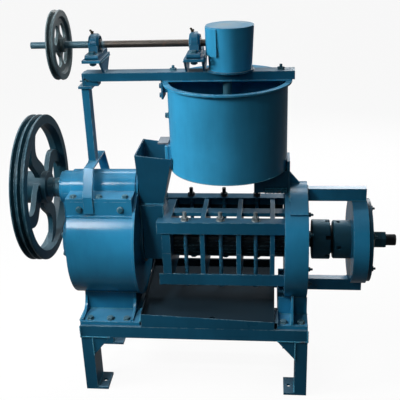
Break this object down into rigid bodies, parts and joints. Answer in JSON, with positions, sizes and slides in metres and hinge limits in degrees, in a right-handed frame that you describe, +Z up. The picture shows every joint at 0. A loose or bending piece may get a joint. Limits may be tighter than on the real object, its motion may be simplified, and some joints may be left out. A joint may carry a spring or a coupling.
{
  "type": "screw oil press",
  "caption": "Belt-driven screw press for oil seed: geared screw in a barred cage, stirred cooking pot, hopper, oil tray and adjustable cake end on a welded stand.",
  "frame": {"origin": "on the floor, under the middle of the stand, at the centre of the four floor bolts", "axes": "+X along the screw from the belt wheel to the cake end, +Y away from the working side, +Z up"},
  "size_m": [1.1456, 0.45, 1.173],
  "materials": {
    "stand_paint": "glossy enamel",
    "housing_paint": "glossy enamel",
    "ring_paint": "glossy enamel",
    "end_paint": "glossy enamel",
    "beam_paint": "glossy enamel",
    "shelf_paint": "satin paint",
    "cap_paint": "glossy enamel",
    "pot_paint": "glossy enamel",
    "gate_steel": "rolled",
    "hopper_paint": "glossy enamel",
    "cage_paint": "glossy enamel",
    "bar_steel": "thin enamel",
    "wheel_paint": "satin paint",
    "shaft_steel": "turned",
    "gear_steel": "machined",
    "nut_dark": "oiled",
    "rod_steel": "zinc",
    "bolt_steel": "zinc",
    "bearing_steel": "ground",
    "nipple_brass": "plain"
  },
  "bodies": {
    "base": {"stand_rails": "stand_paint", "stand_legs": "stand_paint", "stand_gussets": "stand_paint", "foot_plates": "stand_paint", "gearbox_pedestal": "housing_paint", "gear_housing": "housing_paint", "gear_housing_cap": "housing_paint", "gearbox_bearings": "bearing_steel", "bearing_covers": "housing_paint", "gearbox_bolts": "bolt_steel", "bridge": "housing_paint", "upright_post": "beam_paint", "top_beam": "beam_paint", "bearing_shelves": "shelf_paint", "pillow_blocks": "beam_paint", "grease_nipples": "nipple_brass", "pillow_bearings": "bearing_steel", "bevel_base": "beam_paint", "bevel_cap": "cap_paint", "cooking_pot": "pot_paint", "pot_lid": "pot_paint", "top_bolts": "bolt_steel", "outlet_frame": "pot_paint", "rim_bracket": "beam_paint", "pot_support": "ring_paint", "feed_hopper": "hopper_paint", "feed_throat": "hopper_paint", "upper_cage": "cage_paint", "lower_cage": "cage_paint", "barrel_bars_upper": "bar_steel", "barrel_bars_lower": "bar_steel", "cage_rods": "rod_steel", "cake_ring": "end_paint", "main_ring": "ring_paint", "ring_pedestal": "ring_paint", "base_bolts": "bolt_steel", "tie_arms": "ring_paint", "end_ring": "ring_paint", "end_cover": "end_paint", "ring_bolts": "bolt_steel", "oil_tray": "hopper_paint"},
    "drive": {"pinion_shaft": "shaft_steel", "big_wheel": "wheel_paint", "wheel_key": "bolt_steel", "shaft_collar": "shaft_steel"},
    "gear": {"main_gear": "gear_steel"},
    "carrier": {"thrust_sleeve": "shaft_steel", "castellated_nut": "nut_dark", "thrust_bearing": "bearing_steel"},
    "nut": {"adjusting_nut": "nut_dark"},
    "screw": {"press_screw": "shaft_steel", "screw_key": "bolt_steel", "shaft_nuts": "nut_dark"},
    "upper": {"upper_shaft": "shaft_steel", "upper_wheel": "wheel_paint", "bevel_pinion": "gear_steel"},
    "stirrer": {"bevel_gear": "gear_steel", "stirrer_shaft": "shaft_steel", "stirrer_blades": "shaft_steel"},
    "gate": {"outlet_gate": "gate_steel"}
  },
  "joints": [
    {"name": "drive_shaft_spin", "type": "hinge", "parent": "base", "child": "drive", "pos_m": [-0.3, 0, 0.636], "axis": [1, 0, 0], "continuous": true},
    {"name": "main_gear_spin", "type": "hinge", "parent": "base", "child": "gear", "pos_m": [-0.267, 0, 0.466], "axis": [1, 0, 0], "continuous": true},
    {"name": "adjusting_nut_turn", "type": "hinge", "parent": "base", "child": "nut", "pos_m": [0.45, 0, 0.466], "axis": [1, 0, 0], "range_deg": [-360, 360]},
    {"name": "screw_adjust", "type": "slide", "parent": "base", "child": "carrier", "axis": [1, 0, 0], "range_m": [-0.0041, 0.0041]},
    {"name": "screw_spin", "type": "hinge", "parent": "carrier", "child": "screw", "pos_m": [0.1, 0, 0.466], "axis": [1, 0, 0], "continuous": true},
    {"name": "upper_shaft_spin", "type": "hinge", "parent": "base", "child": "upper", "pos_m": [-0.2, 0, 1.0745], "axis": [1, 0, 0], "continuous": true},
    {"name": "stirrer_spin", "type": "hinge", "parent": "base", "child": "stirrer", "pos_m": [0.112, 0, 0.9], "axis": [0, 0, 1], "continuous": true},
    {"name": "gate_slide", "type": "slide", "parent": "base", "child": "gate", "axis": [0, 0, 1], "range_m": [0, 0.05]}
  ],
  "couplings": [
    {"joint": "main_gear_spin", "follows": "drive_shaft_spin", "ratio": -0.21429},
    {"joint": "screw_spin", "follows": "drive_shaft_spin", "ratio": -0.21429},
    {"joint": "screw_adjust", "follows": "adjusting_nut_turn", "m_per_rad": 0.00063662},
    {"joint": "stirrer_spin", "follows": "upper_shaft_spin", "ratio": -0.5}
  ]
}
